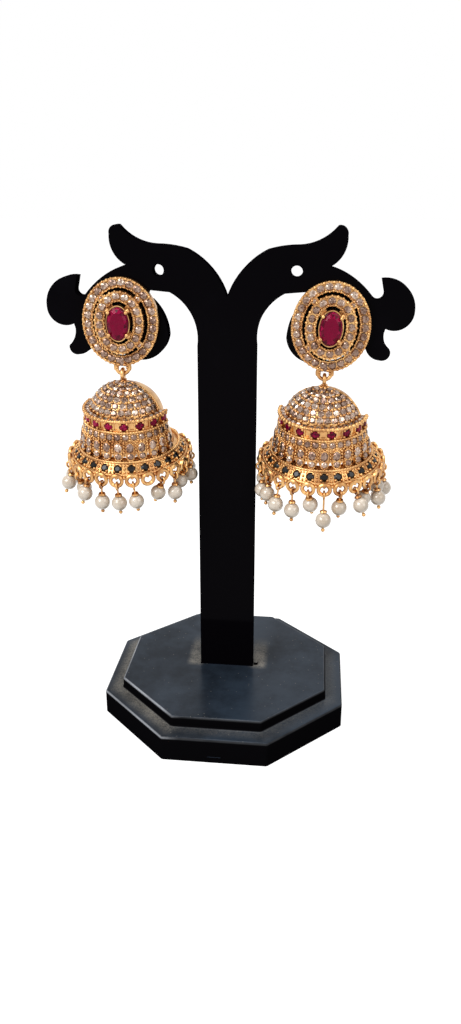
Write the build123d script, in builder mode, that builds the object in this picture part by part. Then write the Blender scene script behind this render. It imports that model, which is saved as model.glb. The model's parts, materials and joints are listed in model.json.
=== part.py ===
"""A pair of jhumka earrings hanging on a small black display stand.

Millimetres.  The origin is the middle of the stand's underside, +Z is up and
the earrings face -Y.  "Left" and "right" are as seen from the front.
"""
from build123d import *
from math import cos, radians, sin, sqrt
import os

# ---- stand ---------------------------------------------------------------
lower_across = 60.0          # lower tier, across the flats of the octagon
lower_height = 6.3
upper_across = 51.4
upper_height = 2.8
base_height = lower_height + upper_height
corner_radius = 1.0          # on the octagons' upright corners
plate_thickness = 3.4
plate_front = -plate_thickness / 2
post_half = 6.8              # half the width of the upright
foot_depth = 5.0             # how deep the upright sits in the base
slot_gap = 0.1
hole_radius = 1.3            # the holes that take an earring's post
free_hole = (15.5, 109.8)    # unused holes, one on each side
used_hole = (22.6, 96.9)     # holes that the two studs sit in

# ---- stud ----------------------------------------------------------------
stud_x = {"left": 24.2, "right": 23.42}
stud_z = {"left": 98.4, "right": 98.1}
stud_gap = 0.15              # between the stud's back and the plate
# the stud rises in three steps: height of each face over the stud's back
outer_step = 1.6
inner_step = 3.0
bezel_step = 4.2
outer_oval = (8.8, 10.0)     # half width and half height, outside to inside
outer_slot = (6.35, 7.75, 5.65, 7.05)
inner_slot = (3.3, 4.75, 2.75, 4.05)
bridge_width = 1.7
ruby_half = (2.5, 3.75)
ruby_seat_depth = 1.1
channel_depth = 0.35
outer_channel = (7.5, 8.75, 0.75)     # centre oval and half width of the row
inner_channel = (4.5, 5.9, 0.7)
prong_radius = 0.57
prong_spot = (2.3, 2.85)     # across and up from the stone's middle
pin_radius = 0.45
pin_length = 9.5
nut_radius = 3.0

# ---- the ring under the stud and the bell's own loop ---------------------
bail_major = 1.5
bail_wire = 0.42
bail_shoulder = 0.6          # thicker wire round the ring's upper part
bail_drop = 10.5             # ring centre below the stud's centre
loop_major = 1.05
loop_wire = 0.45
neck_radius = 0.8
swing_y = plate_front - 1.1  # the plane in which the ring lies
stud_turn = {"left": 0.0, "right": 5.2}

# ---- how each bell hangs at rest ------------------------------------------
bell_lean = {"left": 7.9, "right": 9.5}       # its foot towards the back
bell_turn = {"left": -15.3, "right": -11.1}   # the way its set half faces
bell_shift = {"left": 0.35, "right": 0.0}     # its axis to the right of its loop

# ---- bell: drops are below the swing axis, radii from the bell's axis -----
# The front half carries the collar, leaves and stones, the back half is plain.
set_arc = 188.0              # degrees of the bell that are set
stone_reach = 90.0           # degrees from the middle of the set half
dome_drop = 11.0             # of the dome's centre
dome_radius = 9.1
plain_radius = 8.8           # of the dome's plain half
wall = 0.8
collar_top = 8.0
collar_foot = 10.65
collar_radius = 10.0
wall_top = (12.9, 10.45)     # drop and outer radius
wall_foot = (17.2, 11.2)
plain_foot = (17.1, 10.75)
band_top = (17.5, 11.9)
band_foot = (19.6, 13.5)
lip = (19.65, 14.4, 0.4)     # drop, outer radius, thickness
leaf_height = 4.2            # raised leaves on the wall
leaf_width = 1.75
leaf_relief = 0.35
ruby_count = 17              # in a full round
ruby_phase = 22.8
ruby_across = 1.95
ruby_drop = 9.28
seat_play = 0.1              # between a stone's corners and its seat
seat_depth = 0.75
panel_width = 0.95           # plain sunk panels between the rubies
panel_height = 1.5
panel_depth = 0.3
fringe_count = 25            # rings, and black stones and leaves above them
fringe_phase = 14.4
black_across = 1.7
gap_drop = 16.95             # foot of the pierced gaps between the leaves
gap_half = 0.6
gap_height = 1.3
ring_drop = 20.63
ring_circle = 14.65
ring_major = 1.3
ring_wire = 0.47             # to the corners of its eight flats
seam_wire = 0.3
# round mouldings: radius on the bell, drop, size
set_mouldings = (
    (collar_radius + 0.05, collar_top, 0.35),
    (collar_radius + 0.15, collar_foot, 0.3),
)
band_mouldings = (
    (band_top[1] + 0.05, band_top[0] - 0.2, 0.3),
    (band_foot[1] + 0.25, band_foot[0] + 0.05, 0.4),
)

# ---- pearls --------------------------------------------------------------
pearl_radius = 1.8
pearl_bore = 0.35
eye_major = 0.85
eye_wire = 0.25
rod_radius = 0.22
tip_radius = 0.45
cap_radius = 0.75
cap_thickness = 0.38
# Every ring of the fringe holds one pearl.  They are almost as wide as the
# rings are apart, so every second one hangs shorter and is pushed inward.
even_drop = (1.0, 4.3, 0.0)           # inward lean, length, sideways lean
odd_drop = (19.0, 3.2, 0.0)
# The pearls that hang otherwise, by their ring's number.
own_drops = {
    "left": {
        -4: (-18.0, 3.1, -6.0),
        -3: (24.0, 3.6, -5.0),
        -2: (-10.0, 3.2, -12.0),
        -1: (5.0, 4.5, -3.0),
        0: (4.0, 4.3, 4.0),
        1: (12.0, 4.3, 8.0),
        3: (24.0, 3.7, -6.0),
        6: (-3.0, 3.1, 7.0),
        7: (24.0, 3.1, 5.0),
        8: (-1.0, 4.4, 2.0),
    },
    "right": {
        -7: (12.0, 4.8, -1.0),
        -6: (19.0, 3.1, 1.5),
        -5: (0.0, 4.1, 0.0),
        -4: (-8.0, 3.3, 0.0),
        -3: (-7.0, 4.5, -5.0),
        -2: (-1.0, 4.7, 0.0),
        -1: (22.0, 3.2, 6.0),
        0: (-6.0, 5.9, 0.0),
        1: (13.0, 3.7, 2.0),
        2: (-18.0, 3.5, 13.0),
        3: (22.0, 3.3, 2.5),
        4: (-8.0, 4.2, 3.0),
        6: (-6.0, 5.2, -2.0),
    },
}
lost_pearls = {"left": (2,), "right": ()}

sides = (("left", -1), ("right", 1))


def octagon(across):
    """A regular octagon with flats to the front and the sides."""
    return RegularPolygon(across / 2, 8, major_radius=False, rotation=22.5)


def make_base():
    """Two octagonal tiers with a slot for the upright."""
    with BuildPart() as base:
        with BuildSketch(Plane.XY):
            octagon(lower_across)
        extrude(amount=lower_height)
        with BuildSketch(Plane.XY.offset(lower_height)):
            octagon(upper_across)
        extrude(amount=upper_height)
        fillet(base.edges().filter_by(Axis.Z), corner_radius)
        rims = base.faces().filter_by(GeomType.PLANE).filter_by(Axis.Z)
        fillet(rims.sort_by(Axis.Z)[-2:].edges(), 0.6)
        with BuildSketch(Plane.XY.offset(base_height - foot_depth)):
            Rectangle(2 * (post_half + slot_gap), plate_thickness + 2 * slot_gap)
        extrude(amount=foot_depth, mode=Mode.SUBTRACT)
        # the mould's gate at the foot of the front face
        with BuildSketch(Plane.XZ.offset(lower_across / 2 - 0.1)):
            with Locations((0, 1.0)):
                Rectangle(3.2, 1.2)
        extrude(amount=0.25)
        # a small stop beside the upright
        with BuildSketch(Plane.XY.offset(base_height - 0.1)):
            with Locations((post_half + 0.8, 0)):
                RectangleRounded(1.0, 2.2, 0.4)
        extrude(amount=0.8)
    return base.part


def draw_plate_edge():
    """The right half of the plate's outline, from its foot to the notch."""
    foot = base_height - foot_depth
    notch = (0, 104.1)
    with BuildLine(Plane.XZ) as edge:
        Polyline((0, foot), (post_half, foot), (post_half, 93.0))
        # arch between the upright and the arm
        ThreePointArc((post_half, 93.0), (8.4, 100.7), (13.0, 105.0))
        Line((13.0, 105.0), (17.5, 105.4))
        ThreePointArc((17.5, 105.4), (18.2, 104.2), (17.2, 103.2))
        # round lobe that carries the stud
        ThreePointArc((17.2, 103.2), (14.4, 99.2), (13.5, 95.2))
        ThreePointArc((13.5, 95.2), (15.2, 91.5), (19.6, 89.5))
        ThreePointArc((19.6, 89.5), (25.5, 91.2), (31.4, 93.0))
        # small foot lobe
        ThreePointArc((31.4, 93.0), (32.4, 91.4), (34.6, 90.5))
        ThreePointArc((34.6, 90.5), (36.5, 91.1), (36.9, 92.6))
        ThreePointArc((36.9, 92.6), (35.6, 94.3), (35.2, 96.5))
        # half disc at the arm's end
        Line((35.2, 96.5), (35.5, 97.6))
        ThreePointArc((35.5, 97.6), (39.5, 97.75), (41.7, 101.5))
        ThreePointArc((41.7, 101.5), (40.0, 106.4), (34.2, 108.4))
        Line((34.2, 108.4), (34.8, 105.6))
        ThreePointArc((34.8, 105.6), (34.0, 104.0), (32.5, 104.3))
        # shoulder, horn and the long top edge
        Spline((32.5, 104.3), (29.6, 107.3), (26.2, 109.6), (22.85, 110.9))
        ThreePointArc((22.85, 110.9), (25.6, 113.6), (26.4, 117.6))
        ThreePointArc((26.4, 117.6), (25.8, 119.2), (24.3, 119.5))
        ThreePointArc((24.3, 119.5), (21.2, 116.9), (16.0, 115.4))
        ThreePointArc((16.0, 115.4), (12.5, 115.15), (9.0, 114.4))
        ThreePointArc((9.0, 114.4), (3.6, 110.3), notch)
    return edge.line


def make_plate():
    """The flat upright with its two scrolled arms."""
    half = draw_plate_edge()
    with BuildPart() as plate:
        with BuildSketch(Plane.XZ.offset(-plate_thickness / 2)):
            with BuildLine():
                add(Plane.XZ.to_local_coords(half))
                mirror(about=Plane.YZ)
            make_face()
            for x, z in (free_hole, used_hole):
                with Locations((x, z), (-x, z)):
                    Circle(hole_radius, mode=Mode.SUBTRACT)
        extrude(amount=plate_thickness)
    return plate.part


def stud_plane(side, sign):
    """Sketch plane at the middle of a stud's back, facing out."""
    turn = radians(stud_turn[side])
    return Plane(
        origin=(sign * stud_x[side], plate_front - stud_gap, stud_z[side]),
        x_dir=(cos(turn), 0, -sin(turn)),
        z_dir=(0, -1, 0),
    )


def bail_centre(side, sign):
    """Centre of the ring under a stud."""
    turn = radians(stud_turn[side])
    return Vector(
        sign * stud_x[side] - bail_drop * sin(turn),
        swing_y,
        stud_z[side] - bail_drop * cos(turn),
    )


def bell_location(side, sign):
    """Where a bell hangs: its loop is round the lowest wire of the ring."""
    swing_point = bail_centre(side, sign) - Vector(0, 0, bail_major)
    leaning = Location(swing_point) * Rot(bell_lean[side], 0, 0)
    return leaning * Pos(bell_shift[side], 0, 0) * Rot(0, 0, bell_turn[side])


def draw_bridges():
    """Four bridges across each of the stud's two slots."""
    wide_x, wide_z, wide_in_x, wide_in_z = outer_slot
    slim_x, slim_z, slim_in_x, slim_in_z = inner_slot
    outer_bridge = ((wide_x + wide_in_x) / 2, (wide_z + wide_in_z) / 2)
    inner_bridge = ((slim_x + slim_in_x) / 2, (slim_z + slim_in_z) / 2)
    for angle in (45, 135, 225, 315):
        for half_x, half_z in (outer_bridge, inner_bridge):
            spot = (half_x * cos(radians(angle)), half_z * sin(radians(angle)))
            with Locations(spot):
                Rectangle(1.4, bridge_width, rotation=angle)


def make_stud(side, sign):
    """Stud: pierced oval setting in three steps, ring below, pin behind."""
    back = stud_plane(side, sign)
    bezel_face = back.offset(bezel_step)
    ring_plane = Plane(origin=bail_centre(side, sign), x_dir=(1, 0, 0), z_dir=(0, -1, 0))
    pin_root = plate_front - stud_gap - 0.25
    pin_plane = Plane(origin=(sign * used_hole[0], pin_root, used_hole[1]), z_dir=(0, 1, 0))
    with BuildPart() as stud:
        with BuildSketch(back):
            Ellipse(*outer_oval)
            Ellipse(*outer_slot[:2], mode=Mode.SUBTRACT)
            draw_bridges()
        extrude(amount=outer_step)
        with BuildSketch(back):
            Ellipse(*outer_slot[2:])
            Ellipse(*inner_slot[:2], mode=Mode.SUBTRACT)
        extrude(amount=inner_step)
        with BuildSketch(back):
            Ellipse(*inner_slot[2:])
        extrude(amount=bezel_step)
        # a shallow channel on each ring for its row of small stones
        for step, (half_x, half_z, half_row) in (
            (outer_step, outer_channel),
            (inner_step, inner_channel),
        ):
            with BuildSketch(back.offset(step)):
                Ellipse(half_x + half_row, half_z + half_row)
                Ellipse(half_x - half_row, half_z - half_row, mode=Mode.SUBTRACT)
            extrude(amount=-channel_depth, mode=Mode.SUBTRACT)
        with BuildSketch(bezel_face):
            Ellipse(ruby_half[0] + seat_play, ruby_half[1] + seat_play)
        extrude(amount=-ruby_seat_depth, mode=Mode.SUBTRACT)
        # four claws that hold the centre stone
        across, up = prong_spot
        for claw_x, claw_z in ((across, up), (-across, up), (across, -up), (-across, -up)):
            with Locations(bezel_face.location * Pos(claw_x, claw_z, -0.1)):
                Sphere(prong_radius)
        with Locations(ring_plane):
            Torus(bail_major, bail_wire)
        with Locations(ring_plane.location * Rot(0, 0, -20)):
            Torus(bail_major, bail_shoulder, major_angle=220, align=None)
        with BuildSketch(pin_plane):
            Circle(pin_radius)
        extrude(amount=pin_length)
    return stud.part


def make_nut(sign):
    """The plain round nut behind the plate."""
    start = plate_thickness / 2 + 0.3
    plane = Plane(origin=(sign * used_hole[0], start, used_hole[1]), z_dir=(0, 1, 0))
    with BuildPart() as nut:
        with BuildSketch(plane):
            Circle(nut_radius)
        extrude(amount=1.4)
        with BuildSketch(plane.offset(1.4)):
            Circle(1.5)
        extrude(amount=2.4)
        with BuildSketch(plane):
            Circle(pin_radius + 0.1)
        extrude(amount=3.8, mode=Mode.SUBTRACT)
        fillet(nut.edges().group_by(Axis.Y)[0].sort_by(SortBy.LENGTH)[-1], 0.3)
    return nut.part


def make_oval_stone(side, sign):
    """The stud's centre stone: twelve sides, a table, a crown and a back."""
    face = stud_plane(side, sign).offset(bezel_step)
    half_x, half_z = ruby_half
    # height over the setting's face and size of each level
    levels = ((-0.95, 0.55), (-0.1, 1.0), (0.05, 1.0), (0.75, 0.6))
    with BuildPart() as stone:
        for height, scale in levels:
            with BuildSketch(face.offset(height)):
                with BuildLine():
                    Polyline(*oval_corners(half_x * scale, half_z * scale, 12), close=True)
                make_face()
        loft(ruled=True)
    return stone.part


def oval_corners(half_x, half_z, count):
    """Corners of a polygon inside an oval."""
    turns = [radians(360 / count * (i + 0.5)) for i in range(count)]
    return [(half_x * cos(turn), half_z * sin(turn)) for turn in turns]


def make_cut_stone(across):
    """A round stone of eight sides with a table, girdle at height zero."""
    with BuildPart() as stone:
        with BuildSketch(Plane.XY):
            RegularPolygon(across / 2, 8, major_radius=False)
        extrude(amount=0.22 * across, taper=40)
        with BuildSketch(Plane.XY):
            RegularPolygon(across / 2, 8, major_radius=False)
        extrude(amount=-0.3 * across, taper=30)
    return stone.part


def place(shape, locations):
    """Copies of one shape, apart from each other, as one piece."""
    with BuildPart() as field:
        with Locations(*locations):
            add(shape)
    return field.part


def outward(angle):
    """The level direction away from the bell's axis; angle 0 is the front."""
    return Vector(sin(radians(angle)), -cos(radians(angle)), 0)


def bell_plane(angle, radius, drop, tilt=0.0):
    """A plane on the bell: x runs round it, y up, and its face looks out."""
    lift = radians(tilt)
    return Plane(
        origin=outward(angle) * radius - Vector(0, 0, drop),
        x_dir=outward(angle + 90),
        z_dir=outward(angle) * cos(lift) + Vector(0, 0, sin(lift)),
    )


def round_bell(count, phase, radius, drop, tilt=0.0, reach=181.0):
    """Equal planes round the bell, as far as a reach from its front."""
    angles = [(phase + 360 / count * i + 180) % 360 - 180 for i in range(count)]
    return [bell_plane(a, radius, drop, tilt) for a in angles if abs(a) < reach]


def slope_planes(top, foot, reach=181.0):
    """A plane over each ring, halfway down a sloping part of the bell."""
    fall = Vector(foot[0] - top[0], 0, 0)
    tilt = fall.get_angle(fall + Vector(0, foot[1] - top[1], 0))
    middle = ((top[0] + foot[0]) / 2, (top[1] + foot[1]) / 2)
    return round_bell(fringe_count, fringe_phase, middle[1], middle[0], tilt, reach)


def ruby_planes():
    """Where the ruby stones of the collar sit."""
    return round_bell(ruby_count, ruby_phase, collar_radius, ruby_drop, 0.0, stone_reach)


def draw_plain_wall():
    """Half section of the whole bell's wall: dome, side, band and lip."""
    lip_drop, lip_radius, lip_thickness = lip
    inner_radius = plain_radius - wall
    with BuildLine() as section:
        RadiusArc((0, plain_radius - dome_drop), (plain_radius, -dome_drop), plain_radius)
        Polyline(
            (plain_radius, -dome_drop),
            (plain_foot[1], -plain_foot[0]),
            (band_top[1], -band_top[0]),
            (band_foot[1], -band_foot[0]),
            (lip_radius, -lip_drop),
            (lip_radius, -lip_drop - lip_thickness),
            (band_foot[1] - 1.5 * wall, -lip_drop - lip_thickness),
            (band_top[1] - 1.5 * wall, -band_top[0]),
            (plain_foot[1] - wall, -plain_foot[0]),
            (inner_radius, -dome_drop),
        )
        RadiusArc((inner_radius, -dome_drop), (0, inner_radius - dome_drop), -inner_radius)
        Line((0, inner_radius - dome_drop), (0, plain_radius - dome_drop))
    return section.line


def draw_set_wall():
    """Half section of the raised layer over the bell's set half.

    It reaches down into the middle of the plain wall under it.
    """
    shoulder = dome_radius * sin(radians(35))
    shoulder_height = sqrt(dome_radius**2 - shoulder**2) - dome_drop
    collar_edge = sqrt(dome_radius**2 - (dome_drop - collar_top) ** 2)
    root_radius = plain_radius - wall / 2
    with BuildLine() as section:
        ThreePointArc(
            (0, dome_radius - dome_drop),
            (shoulder, shoulder_height),
            (collar_edge, -collar_top),
        )
        Polyline(
            (collar_edge, -collar_top),
            (collar_radius, -collar_top),
            (collar_radius, -collar_foot),
            (wall_top[1], -wall_top[0]),
            (wall_foot[1], -wall_foot[0]),
            (plain_foot[1] - wall / 2, -wall_foot[0]),
            (root_radius, -dome_drop),
        )
        RadiusArc((root_radius, -dome_drop), (0, root_radius - dome_drop), -root_radius)
        Line((0, root_radius - dome_drop), (0, dome_radius - dome_drop))
    return section.line


def make_ring():
    """One ring of the fringe, bent from wire with eight flats."""
    with BuildPart() as ring:
        with BuildSketch(Plane.XZ):
            with Locations((ring_major, 0)):
                RegularPolygon(ring_wire, 8, rotation=22.5)
        revolve(axis=Axis.Z)
    return ring.part


def make_bell(side):
    """The bell: hollow dome with its loop, seats, gaps and ring fringe.

    It stands on its own axis, with the swing axis at height zero.
    """
    plain_wall = draw_plain_wall()
    set_wall = draw_set_wall()
    half_pitch = 180 / fringe_count
    gap_planes = round_bell(
        fringe_count, fringe_phase + half_pitch, dome_radius, gap_drop, 0.0, stone_reach - half_pitch
    )
    panel_phase = ruby_phase + 180 / ruby_count
    panel_planes = round_bell(ruby_count, panel_phase, collar_radius, ruby_drop, 0.0, stone_reach)
    leaf_planes = slope_planes(wall_top, wall_foot, stone_reach)
    loop_place = Rot(0, 0, -bell_turn[side]) * Pos(-bell_shift[side], 0, 0)
    dome_top = dome_drop - dome_radius
    ring = make_ring()
    with BuildPart() as bell:
        for start, arc, wall_edge, mouldings in (
            (0, 360, plain_wall, band_mouldings),
            (-set_arc / 2, set_arc, set_wall, set_mouldings),
        ):
            with BuildSketch(bell_plane(start - 90, 0, 0)):
                with BuildLine():
                    add(wall_edge)
                make_face()
                for radius, drop, size in mouldings:
                    with Locations((radius, -drop)):
                        Circle(size)
            revolve(axis=Axis.Z, revolution_arc=arc)
        # seam between the set half and the plain half
        with Locations(bell_plane(0, 0, dome_drop)):
            Torus(dome_radius, seam_wire, major_angle=180, align=None)
        # neck and loop, a little off the dome's middle
        with BuildSketch(Plane(loop_place).offset(-dome_top - wall / 2)):
            Circle(neck_radius)
        extrude(amount=dome_top + wall / 2 - loop_major - loop_wire / 2)
        with Locations(loop_place * Rot(0, 90, 0)):
            Torus(loop_major, loop_wire)
        with BuildSketch(*[plane.offset(-wall / 2) for plane in leaf_planes]):
            SlotOverall(leaf_height, leaf_width, rotation=90)
        extrude(amount=wall / 2 + leaf_relief)
        # sunk panels, seats of the stones and gaps between the leaves
        with BuildSketch(*panel_planes):
            Rectangle(panel_width, panel_height)
        extrude(amount=-panel_depth, mode=Mode.SUBTRACT)
        with BuildSketch(*ruby_planes()):
            RegularPolygon(ruby_across / 2 + seat_play, 8, major_radius=False)
        extrude(amount=-seat_depth, mode=Mode.SUBTRACT)
        with BuildSketch(*slope_planes(band_top, band_foot)):
            Circle(black_across / 2 / cos(radians(22.5)) + seat_play)
        extrude(amount=-seat_depth, mode=Mode.SUBTRACT)
        with BuildSketch(*gap_planes):
            Polygon((-gap_half, 0), (gap_half, 0), (0, gap_height), align=None)
        extrude(amount=dome_radius / 2, mode=Mode.SUBTRACT)
        with Locations(*round_bell(fringe_count, fringe_phase, ring_circle, ring_drop)):
            add(ring)
    return bell.part


def drop_shape(side, number):
    """Inward lean, length and sideways lean of one pearl drop."""
    usual = odd_drop if number % 2 else even_drop
    return own_drops[side].get(number, usual)


def drop_location(side, sign, number):
    """Where a drop hooks its ring.  It hangs plumb but for its own leans."""
    lean, length, sideways = drop_shape(side, number)
    angle = fringe_phase + 360 / fringe_count * number
    ring = bell_plane(angle, ring_circle, ring_drop).location
    hook = bell_location(side, sign) * ring * Rot(0, 0, sideways) * Pos(0, -ring_major, 0)
    facing = angle + bell_turn[side]
    plumb = Plane(origin=hook.position, x_dir=outward(facing + 90), z_dir=outward(facing))
    return plumb.location * Rot(0, 0, sideways) * Rot(lean, 0, 0)


def make_pin(length):
    """Eye, cap, rod and ball tip, hanging along -Y from the eye's centre."""
    rod_end = length + pearl_radius + 0.5
    with BuildPart() as pin:
        with Locations(Rot(0, 90, 0)):
            Torus(eye_major, eye_wire)
        with BuildSketch(Plane.XZ.offset(eye_major)):
            Circle(rod_radius)
        extrude(amount=rod_end - eye_major)
        with BuildSketch(Plane.XZ.offset(length - pearl_radius - 0.5)):
            Circle(cap_radius)
        extrude(amount=cap_thickness, taper=-20)
        with Locations((0, -rod_end, 0)):
            Sphere(tip_radius)
    return pin.part


def make_pearl():
    """A drilled pearl."""
    with BuildPart() as pearl:
        Sphere(pearl_radius)
        Cylinder(pearl_bore, 3 * pearl_radius, rotation=(90, 0, 0), mode=Mode.SUBTRACT)
    return pearl.part


def hang_drops(side, sign):
    """All pearl drops of one bell: their pins and their pearls."""
    first = -(fringe_count // 2)
    numbers = [n for n in range(first, first + fringe_count) if n not in lost_pearls[side]]
    pearl_spots = []
    with BuildPart() as pins:
        for length in sorted({drop_shape(side, number)[1] for number in numbers}):
            same = [number for number in numbers if drop_shape(side, number)[1] == length]
            spots = [drop_location(side, sign, number) for number in same]
            pearl_spots += [spot * Pos(0, -length, 0) for spot in spots]
            shape = make_pin(length)
            with Locations(*spots):
                add(shape)
    return pins.part, place(make_pearl(), pearl_spots)


def save(part, name):
    """Write one piece to its own file."""
    part.label = name
    export_step(part, f"parts/{name}.step")


def main():
    os.makedirs("parts", exist_ok=True)
    save(make_base(), "stand_base")
    save(make_plate(), "stand_plate")
    ruby = make_cut_stone(ruby_across)
    ruby_spots = [plane.offset(-0.15).location for plane in ruby_planes()]
    black = make_cut_stone(black_across)
    black_planes = slope_planes(band_top, band_foot)
    black_spots = [plane.offset(-0.1).location for plane in black_planes]
    for side, sign in sides:
        save(make_stud(side, sign), f"{side}_stud_frame")
        save(make_nut(sign), f"{side}_back_nut")
        save(make_oval_stone(side, sign), f"{side}_centre_ruby")
        hung = bell_location(side, sign)
        save(hung * make_bell(side), f"{side}_bell")
        save(hung * place(ruby, ruby_spots), f"{side}_ruby_stones")
        save(hung * place(black, black_spots), f"{side}_black_stones")
        pins, pearls = hang_drops(side, sign)
        save(pins, f"{side}_pearl_pins")
        save(pearls, f"{side}_pearls")


main()
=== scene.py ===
# Dresses a pair of jhumka earrings on a black display stand.
import json
import math
import bpy
import numpy as np
from mathutils import Matrix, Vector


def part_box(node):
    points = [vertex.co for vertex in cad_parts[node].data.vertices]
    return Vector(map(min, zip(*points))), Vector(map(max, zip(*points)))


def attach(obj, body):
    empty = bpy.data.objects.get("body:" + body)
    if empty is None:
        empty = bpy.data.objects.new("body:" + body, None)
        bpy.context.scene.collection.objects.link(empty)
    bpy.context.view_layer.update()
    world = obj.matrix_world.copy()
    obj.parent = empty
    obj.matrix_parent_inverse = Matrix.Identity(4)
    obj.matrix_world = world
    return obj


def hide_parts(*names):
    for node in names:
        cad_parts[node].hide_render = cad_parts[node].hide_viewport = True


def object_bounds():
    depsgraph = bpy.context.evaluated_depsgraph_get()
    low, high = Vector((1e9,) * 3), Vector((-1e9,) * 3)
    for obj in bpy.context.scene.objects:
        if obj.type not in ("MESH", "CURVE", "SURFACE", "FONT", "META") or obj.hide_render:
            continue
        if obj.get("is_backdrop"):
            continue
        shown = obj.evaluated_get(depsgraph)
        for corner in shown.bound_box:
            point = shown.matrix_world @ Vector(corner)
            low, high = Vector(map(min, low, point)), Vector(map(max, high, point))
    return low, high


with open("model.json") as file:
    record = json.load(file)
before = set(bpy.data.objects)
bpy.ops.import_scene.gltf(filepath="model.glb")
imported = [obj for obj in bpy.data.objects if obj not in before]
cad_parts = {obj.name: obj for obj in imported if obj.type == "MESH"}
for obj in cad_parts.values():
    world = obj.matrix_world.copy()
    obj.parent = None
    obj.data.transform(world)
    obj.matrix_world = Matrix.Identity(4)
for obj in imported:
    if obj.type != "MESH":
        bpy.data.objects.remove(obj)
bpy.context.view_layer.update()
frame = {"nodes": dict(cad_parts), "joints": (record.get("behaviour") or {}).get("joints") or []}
nodes = frame["nodes"]
mm = 0.001
sides = ("left", "right")
print("frame loaded:", len(nodes), "nodes")


# Value wraps one output in a material. Sums and products of values add their
# own Math nodes, so a mask is written as it would be on paper.
class Value:
    def __init__(self, shader, source):
        self.shader = shader
        self.source = source

    def math(self, operation, other=None):
        return self.shader.add("ShaderNodeMath", {"operation": operation}, [self, other])

    def __add__(self, other):
        return self.math("ADD", other)

    def __sub__(self, other):
        return self.math("SUBTRACT", other)

    def __rsub__(self, other):
        return self.shader.add("ShaderNodeMath", {"operation": "SUBTRACT"}, [other, self])

    def __mul__(self, other):
        return self.math("MULTIPLY", other)

    def __truediv__(self, other):
        return self.math("DIVIDE", other)

    __radd__ = __add__
    __rmul__ = __mul__

    def size(self):
        return self.math("ABSOLUTE")

    def largest(self, other):
        return self.math("MAXIMUM", other)

    def clipped(self):
        return self.math("MINIMUM", 1.0).math("MAXIMUM", 0.0)

    # 0 below low, 1 above high, smooth between
    def rises(self, low, high):
        settings = {"interpolation_type": "SMOOTHSTEP"}
        inputs = {"Value": self, "From Min": low, "From Max": high}
        return self.shader.add("ShaderNodeMapRange", settings, inputs)

    # a value from 0 to 1 stretched to run from low to high
    def spread(self, low, high):
        return self * (high - low) + low


# Shader holds the nodes of one material, or of the world. add makes any node:
# its settings are set first, then its sockets get values or links, and the
# output that is named comes back.
class Shader:
    def __init__(self, name, kind="materials", surface="Principled BSDF"):
        self.material = getattr(bpy.data, kind).new(name)
        self.material.use_nodes = True
        self.tree = self.material.node_tree
        self.surface = self.tree.nodes[surface]

    def add(self, kind, settings=None, inputs=None, output=0):
        node = self.tree.nodes.new(kind)
        for key, value in (settings or {}).items():
            if key == "stops":
                self.setStops(node.color_ramp, value)
            else:
                setattr(node, key, value)
        if inputs is not None:
            pairs = inputs.items() if isinstance(inputs, dict) else enumerate(inputs)
            for key, value in pairs:
                self.feed(node.inputs[key], value)
        return Value(self, node.outputs[output])

    def setStops(self, ramp, stops):
        while len(ramp.elements) < len(stops):
            ramp.elements.new(0.5)
        for element, (position, colour) in zip(ramp.elements, stops):
            element.position = position
            element.color = (*colour, 1.0)

    # a link, a colour or a number; None leaves the socket as it is
    def feed(self, socket, value):
        if value is None:
            return
        if isinstance(value, Value):
            self.tree.links.new(value.source, socket)
        elif socket.type == "RGBA":
            socket.default_value = (*value, 1.0)
        else:
            socket.default_value = value

    def set(self, **inputs):
        for key, value in inputs.items():
            self.feed(self.surface.inputs[key.replace("_", " ")], value)
        return self

    # the point's own place in metres, in the object's frame
    def place(self):
        return self.add("ShaderNodeTexCoord", output="Object")

    def noise(self, scale, detail=3.0, roughness=0.5):
        inputs = {
            "Vector": self.place(),
            "Scale": scale,
            "Detail": detail,
            "Roughness": roughness,
        }
        return self.add("ShaderNodeTexNoise", {}, inputs)

    # distance to the middle of the nearest cell, in cells
    def cells(self, scale):
        inputs = {"Vector": self.place(), "Scale": scale}
        return self.add("ShaderNodeTexVoronoi", {}, inputs, "Distance")

    def axes(self):
        split = self.add("ShaderNodeSeparateXYZ", {}, {"Vector": self.place()}).source.node
        return [Value(self, split.outputs[i]) for i in range(3)]

    # 1 on what the camera sees, straight or in a mirror or through glass
    def seen(self):
        path = self.add("ShaderNodeLightPath").source.node
        seen = Value(self, path.outputs["Is Camera Ray"])
        for extra in ("Is Glossy Ray", "Is Transmission Ray"):
            seen = seen.largest(Value(self, path.outputs[extra]))
        return seen

    # one part of the surface's direction, "X", "Y" or "Z"
    def facing(self, part):
        normal = self.add("ShaderNodeNewGeometry", output="Normal")
        return self.add("ShaderNodeSeparateXYZ", {}, {"Vector": normal}, part)

    # first colour where the mask is 0, second where it is 1; the Mix node has
    # sockets of one name for each kind of data, so they go by number
    def blend(self, mask, first, second):
        node = self.add("ShaderNodeMix", {"data_type": "RGBA"}).source.node
        self.feed(node.inputs[0], mask)
        self.feed(node.inputs[6], first)
        self.feed(node.inputs[7], second)
        return Value(self, node.outputs[2])

    def ramp(self, mask, *stops):
        return self.add("ShaderNodeValToRGB", {"stops": stops}, {"Fac": mask})

    def bump(self, height, strength, distance):
        inputs = {"Height": height, "Strength": strength, "Distance": distance}
        return self.add("ShaderNodeBump", {}, inputs, "Normal")


goldLook = {
    "bright": (0.84, 0.52, 0.215),
    "deep": (0.27, 0.085, 0.024),
    "cloudScale": 315.0,
    "cloudEdges": (0.3, 0.75),
    "cloudShare": 0.6,  # of the tone; the grain has the rest
    "grainScale": 2700.0,
    "roughness": (0.2, 0.4),
    "bump": (0.25, 0.04 * mm),
}


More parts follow.
